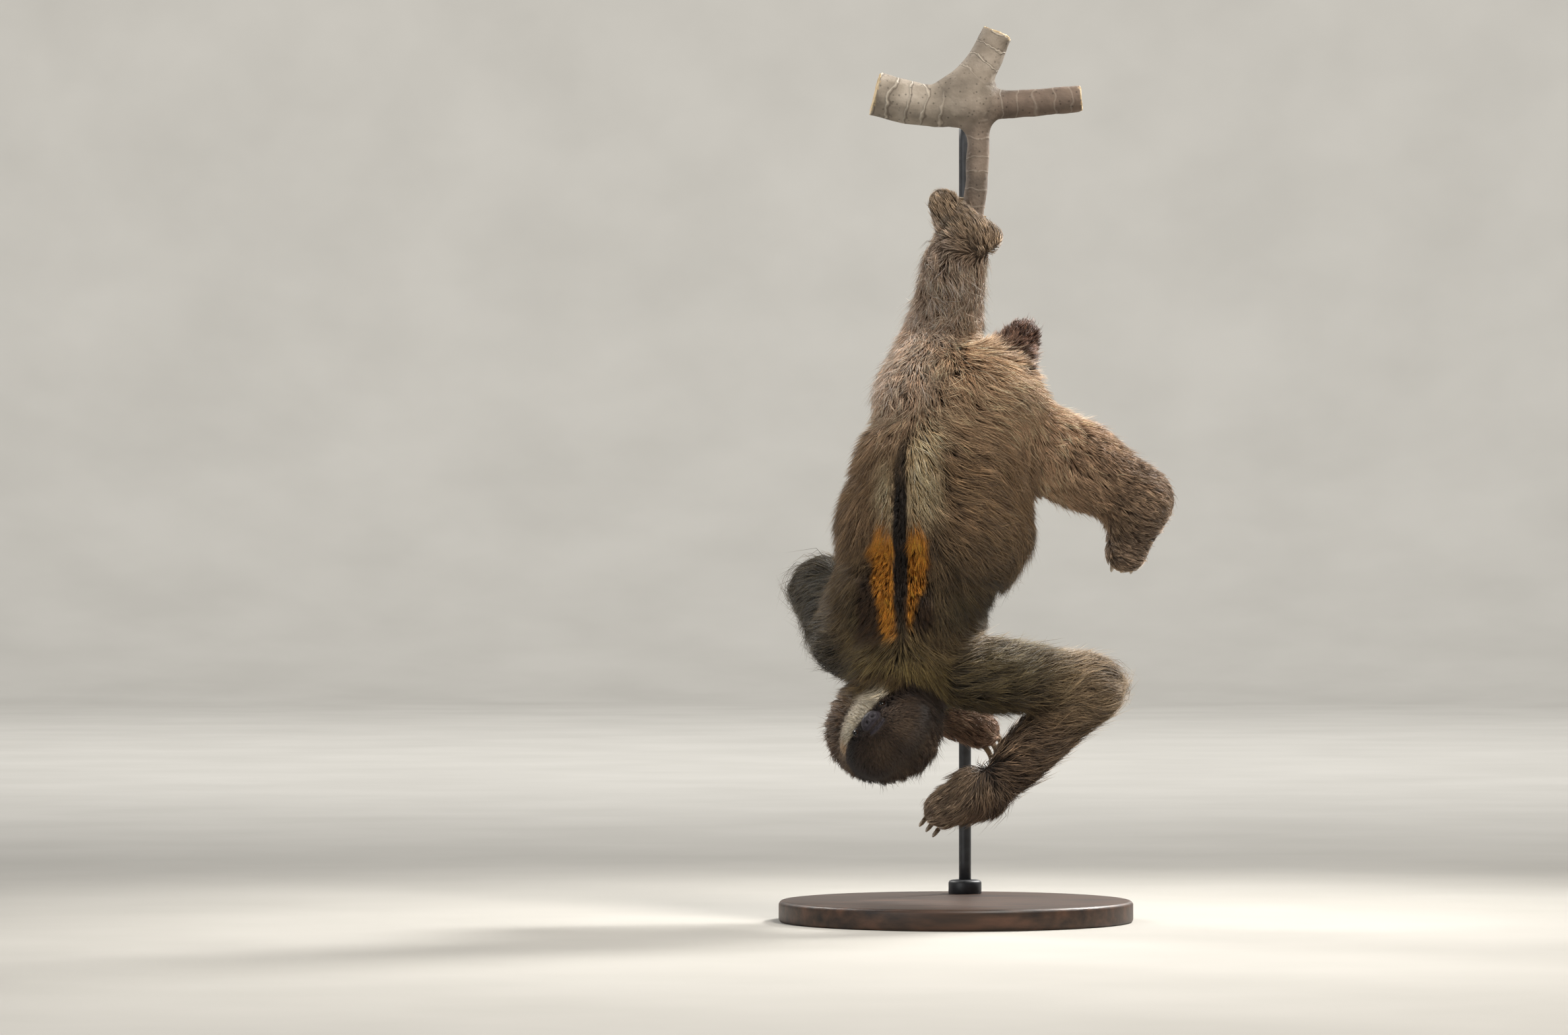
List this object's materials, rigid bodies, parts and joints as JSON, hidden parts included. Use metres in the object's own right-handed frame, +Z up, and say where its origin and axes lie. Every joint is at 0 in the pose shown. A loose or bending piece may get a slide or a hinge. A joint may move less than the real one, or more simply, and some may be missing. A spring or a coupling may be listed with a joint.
{
  "type": "three-toed sloth",
  "caption": "Life-size three-toed sloth hanging head down from a cut branch by one hind foot, on a plain round display stand.",
  "frame": {"origin": "centre of the stand's underside", "axes": "+Z up from the floor the stand rests on; the animal's back faces -Y and its belly +Y; its left side is on +X"},
  "size_m": [0.446, 0.4, 1.0076],
  "materials": {
    "coat": "shaggy grey-brown fur with sandy tips and a green cast on the shoulders",
    "face_coat": "short dark brown fur with a cream brow band",
    "tail_coat": "short rufous brown fur",
    "eye": "wet dark brown",
    "nose": "moist blue-grey bare skin",
    "claw": "horn, pale brown, darker along the back",
    "bark": "smooth grey bark with ring scars",
    "stand_steel": "satin black powder coat",
    "stand_wood": "dark stained, satin lacquer"
  },
  "bodies": {
    "root": {"claw_foot_left_1": "claw", "claw_foot_left_2": "claw", "claw_foot_left_3": "claw", "claw_foot_right_1": "claw", "claw_foot_right_2": "claw", "claw_foot_right_3": "claw", "claw_hand_left_1": "claw", "claw_hand_left_2": "claw", "claw_hand_left_3": "claw", "claw_hand_right_1": "claw", "claw_hand_right_2": "claw", "claw_hand_right_3": "claw", "eye_left": "eye", "eye_right": "eye", "foot_left": "coat", "foot_right": "coat", "forearm_left": "coat", "forearm_right": "coat", "hand_left": "coat", "hand_right": "coat", "head": "face_coat", "neck": "coat", "nose": "nose", "perch_fork": "bark", "perch_limb_right": "bark", "perch_limb_up": "bark", "perch_stem": "bark", "shank_left": "coat", "shank_right": "coat", "stand_arm": "stand_steel", "stand_base": "stand_wood", "stand_collar": "stand_steel", "stand_elbow": "stand_steel", "stand_rod": "stand_steel", "tail": "tail_coat", "thigh_left": "coat", "thigh_right": "coat", "trunk": "coat", "upper_arm_left": "coat", "upper_arm_right": "coat"}
  },
  "joints": []
}
